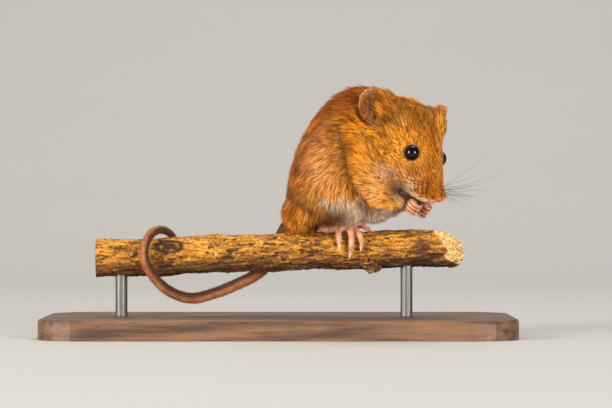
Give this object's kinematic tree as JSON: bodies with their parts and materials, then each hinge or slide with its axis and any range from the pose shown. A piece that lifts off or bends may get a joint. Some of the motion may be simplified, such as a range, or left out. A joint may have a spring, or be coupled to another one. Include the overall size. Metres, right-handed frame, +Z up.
{
  "type": "eurasian harvest mouse model",
  "caption": "Life-size still model of a harvest mouse sitting on a cut length of branch, its tail wrapped round the branch, forepaws held to its mouth, on a plain display stand.",
  "frame": {"origin": "middle of the stand's underside", "axes": "+X along the branch towards the end the mouse faces, -Y the side its head is turned to, +Z up"},
  "size_m": [0.094, 0.044, 0.0499],
  "materials": {
    "fur": "short soft fur, golden orange to brown, cream below",
    "ear_skin": "thin bare skin with fine hair",
    "bare_skin": "pink skin with fine hair and horn-coloured claws",
    "tail_skin": "finely ringed scales with sparse short hair",
    "eye": "wet gloss",
    "bark": "rough bark",
    "stand_wood": "satin varnish",
    "stand_steel": "brushed"
  },
  "bodies": {
    "root": {"head": "fur", "jaw": "fur", "nose": "bare_skin", "eye_left": "eye", "eye_right": "eye", "ear_left": "ear_skin", "ear_right": "ear_skin", "neck": "fur", "torso": "fur", "arm_left": "fur", "arm_right": "fur", "thigh_left": "fur", "thigh_right": "fur", "forepaw_left": "bare_skin", "forepaw_right": "bare_skin", "hindfoot_left": "bare_skin", "hindfoot_right": "bare_skin", "tail_1": "tail_skin", "tail_2": "tail_skin", "tail_3": "tail_skin", "tail_4": "tail_skin", "tail_5": "tail_skin", "tail_6": "tail_skin", "perch": "bark", "stand_base": "stand_wood", "stand_rod_left": "stand_steel", "stand_rod_right": "stand_steel"}
  },
  "joints": []
}
